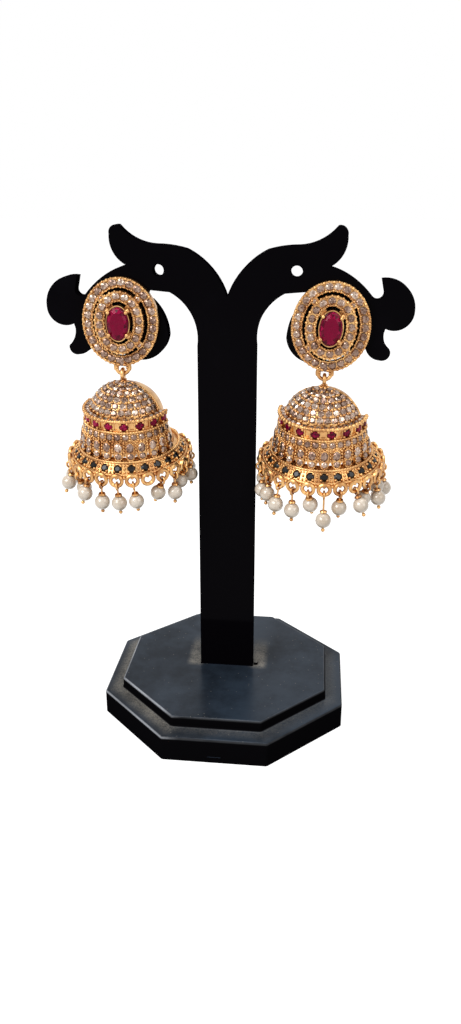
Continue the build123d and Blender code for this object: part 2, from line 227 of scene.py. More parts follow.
# plated gold: cloudy tone, duller patches and a fine cast grain
def makeGold():
    gold = Shader("platedGold")
    cloud = gold.noise(goldLook["cloudScale"], 4.0)
    grain = gold.noise(goldLook["grainScale"], 2.0)
    share = goldLook["cloudShare"]
    tone = (cloud.rises(*goldLook["cloudEdges"]) * share + grain * (1 - share)).clipped()
    gold.set(
        Base_Color=gold.blend(tone, goldLook["bright"], goldLook["deep"]),
        Metallic=1.0,
        Roughness=cloud.spread(*goldLook["roughness"]),
        Normal=gold.bump(grain, *goldLook["bump"]),
    )
    return gold.material


# of each stone: a dark, a middle and a light tone of its painted facet reflections, how metallic,
# how glossy
stoneLook = {
    "clear": ((0.12, 0.06, 0.04), (0.36, 0.24, 0.18), (0.70, 0.58, 0.48), 0.8, 0.5),
    "ruby": ((0.05, 0.0, 0.008), (0.24, 0.0, 0.032), (0.60, 0.008, 0.10), 0.0, 0.08),
    "black": (
        (0.0008, 0.0006, 0.0006),
        (0.0025, 0.0018, 0.0018),
        (0.02, 0.018, 0.02),
        0.0,
        0.25,
    ),
    "stops": (0.12, 0.5, 0.92),  # where the tone is dark, middle and light
    "hazeScale": 1400.0,
    "hazeShare": 0.2,
    "roughness": (0.03, 0.15),
    "coatShare": 0.5,  # of the gloss
    "coatRoughness": 0.05,
}


# cut stones: every facet has its own tone, kept on the mesh, a painted reflection
# that stands for the different part of the room a real stone shows in each facet
def makeStone(name, look):
    stone = Shader(name)
    *tones, metallic, gloss = stoneLook[look]
    facet = stone.add("ShaderNodeAttribute", {"attribute_name": "tone"}, output="Fac")
    haze = stone.noise(stoneLook["hazeScale"], 2.0)
    share = stoneLook["hazeShare"]
    tone = (facet + haze * share - share / 2).clipped()
    stone.set(
        Base_Color=stone.ramp(tone, *zip(stoneLook["stops"], tones)),
        Metallic=metallic,
        Roughness=haze.spread(*stoneLook["roughness"]),
        Specular_IOR_Level=gloss,
        Coat_Weight=gloss * stoneLook["coatShare"],
        Coat_Roughness=stoneLook["coatRoughness"],
    )
    return stone.material


pearlLook = {
    "cream": (0.58, 0.47, 0.35),
    "white": (0.74, 0.65, 0.54),
    "rose": (0.54, 0.38, 0.29),
    "roseShare": 0.5,
    "cloudScale": 260.0,
    "cloudEdges": (0.35, 0.65),
    "swirlScale": 900.0,
    "swirlEdges": (0.52, 0.75),
    "roughness": (0.16, 0.28),
    "gloss": 0.6,
    "coat": (0.8, 0.12),  # weight, roughness
    "bump": (0.08, 0.03 * mm),
}


# imitation pearl: cloudy cream coat with a clear top layer
def makePearl():
    pearl = Shader("pearlLustre")
    cloud = pearl.noise(pearlLook["cloudScale"], 3.0)
    swirl = pearl.noise(pearlLook["swirlScale"], 4.0)
    light = cloud.rises(*pearlLook["cloudEdges"])
    body = pearl.blend(light, pearlLook["cream"], pearlLook["white"])
    flush = swirl.rises(*pearlLook["swirlEdges"]) * pearlLook["roseShare"]
    coat, coatRoughness = pearlLook["coat"]
    pearl.set(
        Base_Color=pearl.blend(flush, body, pearlLook["rose"]),
        Roughness=swirl.spread(*pearlLook["roughness"]),
        Specular_IOR_Level=pearlLook["gloss"],
        Coat_Weight=coat,
        Coat_Roughness=coatRoughness,
        Normal=pearl.bump(swirl, *pearlLook["bump"]),
    )
    return pearl.material


plateLook = {
    "black": (0.0018, 0.0014, 0.0022),
    "smear": (0.005, 0.005, 0.0075),
    "smearNoise": (38.0, 5.0, 0.6),  # scale, detail, roughness
    "smearEdges": (0.55, 0.8),
    "smearShare": 0.5,
    "lintScale": 420.0,
    "lintEdges": (0.03, 0.09),
    "lintShare": 0.25,
    "roughness": (0.07, 0.23),
    "roughEdges": (0.4, 0.8),
    "faceEdges": (0.5, 0.9),  # the normal's Y where the two big faces begin
    "coat": (0.03, 0.08),  # weight, roughness
}


# polished black acrylic with faint smears and lint; only the two big faces
# have a coat, so that the sawn edges stay dull
def makeAcrylic():
    acrylic = Shader("blackAcrylic")
    smear = acrylic.noise(*plateLook["smearNoise"])
    lint = 1 - acrylic.cells(plateLook["lintScale"]).rises(*plateLook["lintEdges"])
    smeared = smear.rises(*plateLook["smearEdges"]) * plateLook["smearShare"]
    mask = (smeared + lint * plateLook["lintShare"]).clipped()
    face = acrylic.facing("Y").size().rises(*plateLook["faceEdges"])
    coat, coatRoughness = plateLook["coat"]
    acrylic.set(
        Base_Color=acrylic.blend(mask, plateLook["black"], plateLook["smear"]),
        Roughness=smear.rises(*plateLook["roughEdges"]).spread(*plateLook["roughness"]),
        Specular_IOR_Level=0.0,
        Coat_Weight=face * coat,
        Coat_Roughness=coatRoughness,
    )
    return acrylic.material


baseLook = {
    "lowerHalf": 30.0 * mm,
    "upperHalf": 25.7 * mm,
    "step": 6.3 * mm,
    "top": 9.1 * mm,
    "black": (0.003, 0.0028, 0.0035),
    # tone of the level faces: partly dust, partly a painted sheen
    "dustySheen": (0.026, 0.038, 0.056),
    "sand": (0.27, 0.25, 0.215),
    # tone of the thin edge lines: partly wear, mostly a painted highlight
    "wornGlint": (0.46, 0.48, 0.52),
    "levelEdges": (0.6, 0.95),  # the normal's Z where a face begins to be level
    "leftEdges": (-14 * mm, -8 * mm),
    "ledgeEdges": (7.0 * mm, 8.5 * mm),
    "filmNoise": (55.0, 6.0, 0.65),  # scale, detail, roughness
    "filmEdges": (0.34, 0.66),
    # how far a level face takes its dust and painted sheen tone
    "dustAndSheen": (0.4, 1.0),
    "grainNoise": (2600.0, 3.0, 0.7),
    "speckScale": 650.0,
    "speckEdges": (0.04, 0.12),
    "speckShare": 0.35,
    "cornerEdges": (0.6 * mm, 4.0 * mm),  # out from the step
    "cornerShare": (0.25, 1.05),  # on the right, on the left
    "footX": 8.2 * mm,
    "footEdges": (0.8 * mm, 2.8 * mm),  # sideways from footX
    "footFront": (-3.4 * mm, -0.8 * mm),
    "footBack": (3.0 * mm, 14.0 * mm),
    "sandGrain": (0.3, 0.62),
    "sandFilm": (0.2, 0.55),
    "sandShare": 0.85,
    # thin light lines along the edges, partly wear and mostly painted highlight
    "lowerRubGlint": (0.05 * mm, 0.4 * mm),
    "lowerRubGlintHeight": (-0.7 * mm, -0.3 * mm),  # from the step
    "upperRubGlint": (0.05 * mm, 0.35 * mm),
    "upperRubGlintIn": 0.2 * mm,
    "upperRubGlintHeight": (-0.6 * mm, -0.2 * mm),  # from the top
    "rubGlintScale": 140.0,
    "rubGlintEdges": (0.25, 0.6),
    "rubGlintShare": 0.8,
    "roughness": (0.45, 0.65),
    "coatFilm": (0.3, 0.7),
    "coat": (0.32, 0.46),
    "coatUnderSand": 0.2,
    "coatRoughness": 0.25,
    "bump": (0.12, 0.06 * mm),
}


# moulded black base: level faces lighter, partly dust and partly painted sheen,
# with a soft gloss; thin light edge lines, partly rubbed and mostly painted highlight,
# brighter on the left; and sandy dust along the step and beside the upright.
# across is the distance from the axis measured as an octagon: the largest of
# |x|, |y| and (|x| + |y|) / root 2, so its level lines run along the edges.
def makeBase():
    base = Shader("dustySheenBase")
    look = baseLook
    x, y, z = base.axes()
    wide = x.size()
    deep = y.size()
    across = wide.largest(deep).largest((wide + deep) / math.sqrt(2))
    flat = base.facing("Z").rises(*look["levelEdges"])
    left = 1 - x.rises(*look["leftEdges"])
    ledge = 1 - z.rises(*look["ledgeEdges"])
    film = base.noise(*look["filmNoise"])
    grain = base.noise(*look["grainNoise"])
    speck = 1 - base.cells(look["speckScale"]).rises(*look["speckEdges"])
    # painted sheen with dust: every level face lighter, more where the film noise is high
    dustAndSheen = flat * film.rises(*look["filmEdges"]).spread(*look["dustAndSheen"])

    fade = 1 - (across - look["upperHalf"]).rises(*look["cornerEdges"])
    corner = ledge * fade * left.spread(*look["cornerShare"])
    beside = 1 - (wide - look["footX"]).size().rises(*look["footEdges"])
    behind = y.rises(*look["footFront"]) * (1 - y.rises(*look["footBack"]))
    foot = (1 - ledge) * beside * behind
    patches = grain.rises(*look["sandGrain"]).spread(0.3, 1.0) * film.rises(*look["sandFilm"])
    sand = flat * (corner + foot) * patches

    # painted edge highlight with some wear: thin light lines along both edges, brighter on the
    # left
    lowerEdge = 1 - (across - look["lowerHalf"]).size().rises(*look["lowerRubGlint"])
    lowerEdge = lowerEdge * (z - look["step"]).rises(*look["lowerRubGlintHeight"])
    upperEdge = across - look["upperHalf"] + look["upperRubGlintIn"]
    upperEdge = 1 - upperEdge.size().rises(*look["upperRubGlint"])
    upperEdge = upperEdge * (z - look["top"]).rises(*look["upperRubGlintHeight"])
    wearAndGlintPatches = base.noise(look["rubGlintScale"], 4.0).rises(*look["rubGlintEdges"]).spread(0.5, 1.0)
    rubAndGlint = (lowerEdge + upperEdge) * wearAndGlintPatches * left.spread(0.1, 1.0)

    tone = base.blend(dustAndSheen.clipped(), look["black"], look["dustySheen"])
    sandy = (sand * look["sandShare"] + speck * flat * look["speckShare"]).clipped()
    tone = base.blend(sandy, tone, look["sand"])
    tone = base.blend((rubAndGlint * look["rubGlintShare"]).clipped(), tone, look["wornGlint"])
    gloss = film.rises(*look["coatFilm"]).spread(*look["coat"])
    base.set(
        Base_Color=tone,
        Roughness=dustAndSheen.spread(*look["roughness"]).clipped(),
        Specular_IOR_Level=0.0,
        Coat_Weight=flat * (gloss - sand.clipped() * look["coatUnderSand"]),
        Coat_Roughness=look["coatRoughness"],
        Normal=base.bump(grain + film * 2, *look["bump"]),
    )
    return base.material


gold = makeGold()
clearStone = makeStone("clearStone", "clear")
ruby = makeStone("rubyGlass", "ruby")
blackStone = makeStone("blackGlass", "black")
pearl = makePearl()
acrylic = makeAcrylic()
dustySheenBase = makeBase()
slotFinish = {
    "gold": gold,
    "clear_stone": clearStone,
    "red_stone": ruby,
    "black_stone": blackStone,
}
standFinish = {"base": dustySheenBase, "plate": acrylic}
jhumkaFinish = {
    "stud_frame": gold,
    "back_nut": gold,
    "centre_ruby": ruby,
    "bell": gold,
    "ruby_stones": ruby,
    "black_stones": blackStone,
    "pearl_pins": gold,
    "pearls": pearl,
}
print("materials made")


# the solids take their finish; the stones' solids are replaced further down
def dress(owner, finishes):
    for part, material in finishes.items():
        data = nodes[f"{owner}_{part}"].data
        data.materials.clear()
        data.materials.append(material)


dress("stand", standFinish)
for side in sides:
    dress(side, jhumkaFinish)
print("solids dressed")


# one mesh from arrays: points (n, 3) in metres and faces (m, k) of indexes;
# tone is one number for each face, its painted reflection, which the stones' finish reads
def makePiece(name, arrays, body, slotName, smooth=False, tone=None):
    points, faces = arrays
    mesh = bpy.data.meshes.new(name)
    count, corners = faces.shape
    mesh.vertices.add(len(points))
    mesh.vertices.foreach_set("co", points.astype(np.float32).ravel())
    mesh.loops.add(count * corners)
    mesh.loops.foreach_set("vertex_index", faces.astype(np.int32).ravel())
    mesh.polygons.add(count)
    starts = np.arange(0, count * corners, corners, dtype=np.int32)
    mesh.polygons.foreach_set("loop_start", starts)
    mesh.polygons.foreach_set("use_smooth", np.full(count, smooth))
    mesh.update(calc_edges=True)
    if tone is not None:
        facets = mesh.attributes.new("tone", "FLOAT", "FACE")
        facets.data.foreach_set("value", tone.astype(np.float32))
    mesh.materials.append(slotFinish[slotName])
    piece = bpy.data.objects.new(name, mesh)
    bpy.context.scene.collection.objects.link(piece)
    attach(piece, body)
    return piece


# levels of equal point counts, lowest first, joined by triangles, with a fan
# over each end
def skinLevels(levels, lowest=None, highest=None):
    count, around = levels.shape[:2]
    low = levels[0].mean(0) if lowest is None else lowest
    high = levels[-1].mean(0) if highest is None else highest
    points = np.vstack([levels.reshape(-1, 3), low, high])
    i = np.tile(np.arange(around), count - 1)
    j = (i + 1) % around
    a = np.repeat(np.arange(count - 1) * around, around)
    lower = np.stack([a + i, a + j, a + around + j], 1)
    upper = np.stack([a + i, a + around + j, a + around + i], 1)
    i, j, last = i[:around], j[:around], (count - 1) * around
    foot = np.stack([j, i, np.full(around, count * around)], 1)
    top = np.stack([last + i, last + j, np.full(around, count * around + 1)], 1)
    return points, np.vstack([lower, upper, foot, top])


# points of a level: radius * (cos t, sin t, .) at a height, turned by a part
# of one step
def level(radius, height, around, turn=0.0):
    angle = 2 * np.pi * (np.arange(around) + turn) / around
    return np.stack([radius * np.cos(angle), radius * np.sin(angle), np.full(around, height)], 1)


# levels of a cut stone from rows of radius, height and turn
def cutLevels(rings, around):
    return np.array([level(radius, height, around, turn) for radius, height, turn in rings])


roundStone = {
    "around": 8,
    # back, girdle, crown and table: radius, height, turn in steps
    "rings": ((0.7, -0.4, 0), (1.0, 0.0, 0), (0.86, 0.2, 0.5), (0.56, 0.4, 0)),
    "wholeShare": 0.45,  # of a facet's tone that all facets of a stone share
}


# round cut stone of unit radius, girdle at height 0, its crown turned half a
# step so that the facets are triangles
def cutStone():
    return skinLevels(cutLevels(roundStone["rings"], roundStone["around"]))


# a bead of unit radius: level radius = cos of latitude, height = sin
def ball(around=8, bands=4):
    latitude = np.pi * (np.arange(1, bands) / bands - 0.5)
    levels = np.array([level(np.cos(t), np.sin(t), around) for t in latitude])
    return skinLevels(levels, np.array([0, 0, -1.0]), np.array([0, 0, 1.0]))


# Places are origins (n, 3) in metres and frames (n, 3, 3), whose columns are
# across, up and out of the surface.

# copies of a shape: point = origin + frame * (size * own point). Sizes are in
# mm: one for all, one for each place, or one for each place and direction
def scatter(shape, places, size):
    points, faces = shape
    origins, frames = places
    size = np.asarray(size, float)
    sizes = size if size.ndim == 2 else np.broadcast_to(size, (len(origins),))[:, None]
    turned = np.einsum("nij,nvj->nvi", frames, points * sizes[:, None, :])
    placed = origins[:, None, :] + turned * mm
    offset = (np.arange(len(origins)) * len(points))[:, None, None]
    return placed.reshape(-1, 3), (faces[None] + offset).reshape(-1, faces.shape[1])


# several pairs of points and faces as one
def joined(*parts):
    starts = np.cumsum([0] + [len(points) for points, faces in parts[:-1]])
    points = np.vstack([points for points, faces in parts])
    return points, np.vstack([faces + start for (points, faces), start in zip(parts, starts)])


# several sets of places as one
def joinedPlaces(*places):
    return np.vstack([p[0] for p in places]), np.vstack([p[1] for p in places])


# places pushed out along their own facing, in mm
def lifted(places, height):
    origins, frames = places
    return origins + frames[:, :, 2] * height * mm, frames


# places moved sideways and upward in their own plane, in mm
def moved(places, across, upward):
    origins, frames = places
    return origins + (frames[:, :, 0] * across + frames[:, :, 1] * upward) * mm, frames


chance = np.random.default_rng(7)


# painted reflection tone of each facet: a part for the whole stone and a part of its own
def paintedFacetReflections(stones, facets, whole):
    each = chance.random((stones, 1)) * whole
    own = chance.random((stones, facets)) * (1 - whole)
    return (each + own).ravel()


# a field of stones as one piece; shade is a painted shade that lowers the painted reflection tone
# of every facet
def setStones(name, places, size, body, slotName, shade=1.0):
    shape = cutStone()
    count, facets = len(places[0]), len(shape[1])
    tone = paintedFacetReflections(count, facets, roundStone["wholeShare"])
    tone = tone * np.repeat(np.broadcast_to(shade, count), facets)
    return makePiece(name, scatter(shape, places, size), body, slotName, tone=tone)


# fields of beads as one piece: places and radius of each
def setBeads(name, fields, body):
    arrays = joined(*[scatter(ball(), places, size) for places, size in fields])
    return makePiece(name, arrays, body, "gold", smooth=True)


# the CAD bell's own numbers: angles in degrees, lengths in mm, drops from the
# swing's axis; a cone is drop and radius at its top, then at its foot
bell = {
    "turn": {"left": -15.3, "right": -11.1},  # the way the set half faces
    "lean": {"left": 7.9, "right": 9.5},  # the foot towards the back
    "shift": {"left": 0.35, "right": 0.0},  # the axis to the right of the loop
    "reach": 90.0,  # from the middle of the set half, where stones are set
    "fringeCount": 25,
    "fringePhase": 14.4,
    "rubyCount": 17,
    "rubyPhase": 22.8,
    "sphere": (9.1, 11.0),  # radius and drop of the dome's centre
    "collarRadius": 10.0,
    "rubyDrop": 9.28,
    "ledge": ((10.65, 10.0), (12.9, 10.45)),
    "wall": ((12.9, 10.45), (17.2, 11.2)),
    "band": ((17.5, 11.9), (19.6, 13.5)),
}
swing = {joint["name"].split("_")[0]: np.array(joint["pos_m"]) for joint in frame["joints"]}


# how a bell hangs: turned about its own axis, then leant about X
def hanging(side):
    turn, lean = math.radians(bell["turn"][side]), math.radians(bell["lean"][side])
    return np.array(Matrix.Rotation(lean, 3, "X") @ Matrix.Rotation(turn, 3, "Z"))


# places on a bell: angle round the axis, radius and drop in mm, tilt upward.
# outward = (sin a, -cos a, 0); a frame is (tangent, up, outward) tipped back
# about the tangent by the tilt, then hung: place = swing + shift + hanging * own
def onBell(side, angle, radius, drop, tilt=0.0):
    given = np.broadcast_arrays(angle, radius, drop, tilt)
    angle, radius, drop, tilt = (np.ravel(one) for one in given)
    a = np.radians(angle)
    t = np.radians(tilt)[:, None]
    zero = np.zeros_like(a)
    outward = np.stack([np.sin(a), -np.cos(a), zero], 1)
    tangent = np.stack([np.cos(a), np.sin(a), zero], 1)
    up = np.array([0.0, 0.0, 1.0])
    facing = outward * np.cos(t) + up * np.sin(t)
    rise = up * np.cos(t) - outward * np.sin(t)
    hung = hanging(side)
    own = outward * radius[:, None] - up * drop[:, None]
    shift = np.array([bell["shift"][side], 0.0, 0.0])
    origins = swing[side] + (own @ hung.T + shift) * mm
    return origins, np.einsum("ij,njk->nik", hung, np.stack([tangent, rise, facing], 2))


wholeTurn = 181.0  # a reach that leaves nothing out


# equal angles round the bell, kept where they are within a reach of its front
def turnsRound(count, phase, reach=wholeTurn):
    turns = (phase + 360 / count * np.arange(count) + 180) % 360 - 180
    return turns[np.abs(turns) < reach]


# places round the bell on a cone between two (drop, radius) ends: share 0 is
# its top, 1 its foot
def onCone(side, turns, cone, share):
    (topDrop, topRadius), (footDrop, footRadius) = cone
    slope = math.degrees(math.atan2(footRadius - topRadius, footDrop - topDrop))
    drop = topDrop + (footDrop - topDrop) * share
    radius = topRadius + (footRadius - topRadius) * share
    return onBell(side, turns, radius, drop, slope)


# places on the dome: ring radius = R sin t, drop = centre - R cos t
def onDome(side, angle, fromTop):
    radius, centre = bell["sphere"]
    t = np.radians(fromTop)
    ring, drop = radius * np.sin(t), centre - radius * np.cos(t)
    return onBell(side, angle, ring, drop, 90 - np.asarray(fromTop))


# degrees and mm, as in all the dictionaries of stones and beads
pave = {
    "rows": np.arange(11.0, 63.0, 10.2),  # from the top of the dome
    "edge": 84.0,  # from the middle of the set half
    "pitch": 1.72,
    "leastCount": 3,
    "stone": 0.82,
    "bead": 0.4,
    "lift": 0.12,
    "shelf": (9.35, 7.95, 75.0, 0.62, 18),  # radius, drop, tilt, stone, count
    "rim": np.arange(9.0, 71.0, 2.6),  # beads down both edges, from the top
    "rimEdge": 86.5,
    "rimBead": 0.24,
}


# rows of stones over the dome, with beads between the rows beside every stone,
# and one more row on the collar's flat top. Stones in a row = arc / pitch
def paveDome(side, body):
    edge, rimEdge = pave["edge"], pave["rimEdge"]
    stones, beads = [], []
    half = (pave["rows"][1] - pave["rows"][0]) / 2
    for fromTop in pave["rows"]:
        ring = bell["sphere"][0] * math.sin(math.radians(fromTop))
        arc = ring * math.radians(2 * edge)
        count = max(pave["leastCount"], round(arc / pave["pitch"]))
        step = 2 * edge / count
        middles = -edge + step * (np.arange(count) + 0.5)
        stones.append(onDome(side, middles, np.full(count, fromTop)))
        corners = -edge + step * np.arange(count + 1)
        for above in (-half, half):
            beads.append(onDome(side, corners, np.full(count + 1, fromTop + above)))
    radius, drop, tilt, size, count = pave["shelf"]
    shelf = onBell(side, np.linspace(-edge, edge, count), radius, drop, tilt)
    places = lifted(joinedPlaces(*stones, shelf), pave["lift"])
    sizes = np.full(len(places[0]), pave["stone"])
    sizes[-count:] = size
    setStones(f"{side}_pave_stones", places, sizes, body, "clear_stone")
    rim = pave["rim"]
    edges = [onDome(side, np.full(len(rim), angle), rim) for angle in (-rimEdge, rimEdge)]
    fields = [
        (lifted(joinedPlaces(*beads), pave["lift"]), pave["bead"]),
        (joinedPlaces(*edges), pave["rimBead"]),
    ]
    setBeads(f"{side}_pave_beads", fields, body)


clearRow = {
    "count": 34,
    "phase": 3.0,
    "share": 0.52,  # of the way down the ledge under the collar
    "stone": 0.76,
    "lift": 0.12,
    # painted shade: the stones of the row under the collar darker
    "shade": 0.62,
    "beadRises": (-0.6, 0.0, 0.6),  # three beads between two stones
    "beadLift": 0.14,
    "bead": 0.33,
}


# the row of clear stones under the collar, darkened by a painted shade, with beads between them
def setClearRow(side, body):
    count, phase, reach = clearRow["count"], clearRow["phase"], bell["reach"]
    ledge, share = bell["ledge"], clearRow["share"]
    places = lifted(onCone(side, turnsRound(count, phase, reach), ledge, share), clearRow["lift"])
    name, size, shade = f"{side}_clear_row", clearRow["stone"], clearRow["shade"]
    setStones(name, places, size, body, "clear_stone", shade)
    between = onCone(side, turnsRound(count, phase + 180 / count, reach), ledge, share)
    rises = [moved(between, 0, rise) for rise in clearRow["beadRises"]]
    return [(lifted(beads, clearRow["beadLift"]), clearRow["bead"]) for beads in rises]


leaf = {
    "height": 4.2,
    "width": 1.75,
    "relief": 0.35,
    # up the leaf, then half width, half height and depth of the stone
    "stones": ((0.88, (0.92, 1.22, 0.95)), (-1.2, (0.82, 0.78, 0.8))),
    "stoneLift": 0.08,  # over the relief
    # painted shade: the leaves' stones darker
    "shade": 0.82,
    "beadTurn": 24,  # between two beads of the edge
    "beadInset": 0.02,
    "endSpread": 1.6,  # how soon the edge turns from its ends into its sides
    "bead": 0.27,
    "column": (-0.2, 0.5, 1.2, 1.9),  # beads up the strip between two leaves
    "columnLift": 0.1,
    "columnBead": 0.36,
}


# two clear stones on every leaf, with beads round the leaf's edge:
# edge point = half width * (cos t, sin t), its ends moved up or down
def setLeaves(side, body):
    count, phase, reach = bell["fringeCount"], bell["fringePhase"], bell["reach"]
    turns = turnsRound(count, phase, reach)
    middle = onCone(side, turns, bell["wall"], 0.5)
    stones = joinedPlaces(*[moved(middle, 0, rise) for rise, size in leaf["stones"]])
    sizes = np.repeat([size for rise, size in leaf["stones"]], len(turns), axis=0)
    places = lifted(stones, leaf["relief"] + leaf["stoneLift"])
    # the leaves' stones take a painted shade
    setStones(f"{side}_leaf_stones", places, sizes, body, "clear_stone", leaf["shade"])
    step = leaf["beadTurn"]
    around = np.radians(np.arange(0, 360, step) + step / 2)
    half = leaf["width"] / 2 - leaf["beadInset"]
    straight = (leaf["height"] - leaf["width"]) / 2
    across = half * np.cos(around)
    end = np.clip(np.sin(around) * leaf["endSpread"], -1, 1)
    upward = half * np.sin(around) + straight * end
    edge = joinedPlaces(*[moved(middle, x, y) for x, y in zip(across, upward)])
    gaps = turnsRound(count, phase + 180 / count, reach - 180 / count)
    strip = onCone(side, gaps, bell["wall"], 0.5)
    column = joinedPlaces(*[moved(strip, 0, rise) for rise in leaf["column"]])
    return [
        (lifted(edge, leaf["relief"]), leaf["bead"]),
        (lifted(column, leaf["columnLift"]), leaf["columnBead"]),
    ]


# rows that stand for solids: slot, lift and radius of the stones, then the
# reach, lift and radius of their claws
setRows = {
    "ruby": ("red_stone", -0.1, 1.0, 1.1, 0.12, 0.36),
    "black": ("black_stone", -0.05, 0.92, 1.04, 0.14, 0.38),
}


# a row of stones in place of a row of solids, each with four claws round it:
# claw = place + reach * (cos t, sin t)
def setRow(side, body, key, places):
    slotName, lift, size, reach, clawLift, claw = setRows[key]
    stones = lifted(places, lift)
    piece = setStones(f"{side}_{key}_row", stones, size, body, slotName)
    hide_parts(f"{side}_{key}_stones")
    turns = np.radians((45, 135, 225, 315))
    claws = [moved(places, reach * math.cos(t), reach * math.sin(t)) for t in turns]
    return lifted(joinedPlaces(*claws), clawLift), claw


bellBeads = {
    # rows round the bell: radius, drop, bead radius, count, reach
    "milgrain": (
        (10.1, 7.95, 0.52, 60, 93),
        (10.25, 10.65, 0.34, 92, 93),
        (10.5, 12.75, 0.3, 84, 93),
        (11.95, 17.2, 0.32, 104, wholeTurn),
        (13.9, 19.65, 0.38, 118, wholeTurn),
        (14.45, 20.0, 0.42, 50, wholeTurn),
    ),
    # up the band between two black stones: rise and bead radius
    "band": ((-0.85, 0.32), (0.0, 0.36), (0.8, 0.28)),
    "bandLift": 0.05,
}


def dressBell(side, body):
    paveDome(side, body)
    beads = setClearRow(side, body) + setLeaves(side, body)
    for radius, drop, size, count, reach in bellBeads["milgrain"]:
        beads.append((onBell(side, turnsRound(count, 0.0, reach), radius, drop), size))
    turns = turnsRound(bell["rubyCount"], bell["rubyPhase"], bell["reach"])
    rubies = onBell(side, turns, bell["collarRadius"], bell["rubyDrop"])
    beads.append(setRow(side, body, "ruby", rubies))
    fringe = turnsRound(bell["fringeCount"], bell["fringePhase"])
    blacks = onCone(side, fringe, bell["band"], 0.5)
    beads.append(setRow(side, body, "black", blacks))
    between = onCone(side, fringe + 180 / bell["fringeCount"], bell["band"], 0.5)
    for rise, size in bellBeads["band"]:
        beads.append((lifted(moved(between, 0, rise), bellBeads["bandLift"]), size))
    setBeads(f"{side}_bell_beads", beads, body)


# the stud's rows: half width and half height of the oval, count, stone radius,
# and height of the row's face from the bezel's
stud = {
    "turn": {"left": 0.0, "right": 5.2},
    "outerRow": (7.5, 8.75, 26, 0.94, -2.6),
    "innerRow": (4.5, 5.9, 16, 0.88, -1.2),
    "stoneLift": 0.02,
    "stonePhase": 0.25,  # where the first stone stands, in steps
    # beads of a row: phase, mm outward from the oval, radius
    "rowBeads": ((0.75, 1.0, 0.4), (0.75, -0.85, 0.34), (0.25, 1.15, 0.26), (0.25, -1.0, 0.24)),
    "beadLift": 0.1,
    "bridge": (6.0, 7.4, 0.5, -2.48),  # half width, half height, stone, face
    "claw": (2.05, 2.5, 0.4, 0.52),  # across, up, height, radius
    # on the ring's shoulder: across, up, radius
    "shoulderStone": (0.0, -9.55, 0.56),
    "shoulderBeads": (
        (-0.8, -9.75, 0.4),
        (0.8, -9.75, 0.4),
        (-1.2, -10.4, 0.34),
        (1.2, -10.4, 0.34),
    ),
    "shoulderHeight": -2.5,
    # painted shade: the stones darker towards the bottom of the stud
    "shade": (0.62, 0.96),  # of the lowest and the highest stones
}

# the oval stone in the middle
ovalRuby = {
    "half": (2.5, 3.75),
    "top": 0.75,  # the table over the bezel's face
    "table": 0.66,  # the table's share of the oval
    "around": 16,
    # levels under the table: share of the oval, height, turn in steps
    "rings": (
        (0.5, -0.95, 0),
        (0.8, -0.5, 0.5),
        (1.0, -0.08, 0),
        (1.0, 0.04, 0),
        (0.88, 0.36, 0.5),
    ),
    "wholeShare": 0.2,
    # shade lowers the painted reflection tone of every facet; the table's painted reflection is
    # one flat tone
    "shade": 0.7,
    "tableTone": 0.42,  # the table is one flat tone
}


# places on a stud's face: x across, z up, height out of it, all in mm
def onStud(side, x, z, height=0.0):
    low, high = (np.array(corner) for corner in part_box(f"{side}_centre_ruby"))
    centre = (low + high) / 2
    centre[1] = low[1] + ovalRuby["top"] * mm
    t = math.radians(stud["turn"][side])
    right = np.array([math.cos(t), 0, -math.sin(t)])
    up = np.array([math.sin(t), 0, math.cos(t)])
    out = np.array([0, -1.0, 0])
    x, z, height = (np.ravel(one).astype(float) for one in np.broadcast_arrays(x, z, height))
    origins = centre + (x[:, None] * right + z[:, None] * up + height[:, None] * out) * mm
    return origins, np.broadcast_to(np.stack([right, up, out], 1), (len(x), 3, 3))


# equal steps along an oval: the angle is read back from the summed length
def ovalSteps(halfX, halfZ, count, phase):
    t = np.linspace(0, 2 * np.pi, 721)
    x, z = halfX * np.cos(t), halfZ * np.sin(t)
    length = np.concatenate([[0], np.cumsum(np.hypot(np.diff(x), np.diff(z)))])
    wanted = (np.arange(count) + phase) / count * length[-1]
    angle = np.interp(wanted, length, t)
    return halfX * np.cos(angle), halfZ * np.sin(angle), angle


# one row of the stud: stones along the oval, a claw on each side of every
# joint between two stones, and beads along both edges
def setStudRow(side, key):
    halfX, halfZ, count, size, face = stud[key]
    x, z, angle = ovalSteps(halfX, halfZ, count, stud["stonePhase"])
    stones = onStud(side, x, z, face + stud["stoneLift"])
    beads = []
    for phase, reach, radius in stud["rowBeads"]:
        x, z, angle = ovalSteps(halfX, halfZ, count, phase)
        x, z = x + reach * np.cos(angle), z + reach * np.sin(angle)
        beads.append((onStud(side, x, z, face + stud["beadLift"]), radius))
    return stones, np.full(count, size), beads


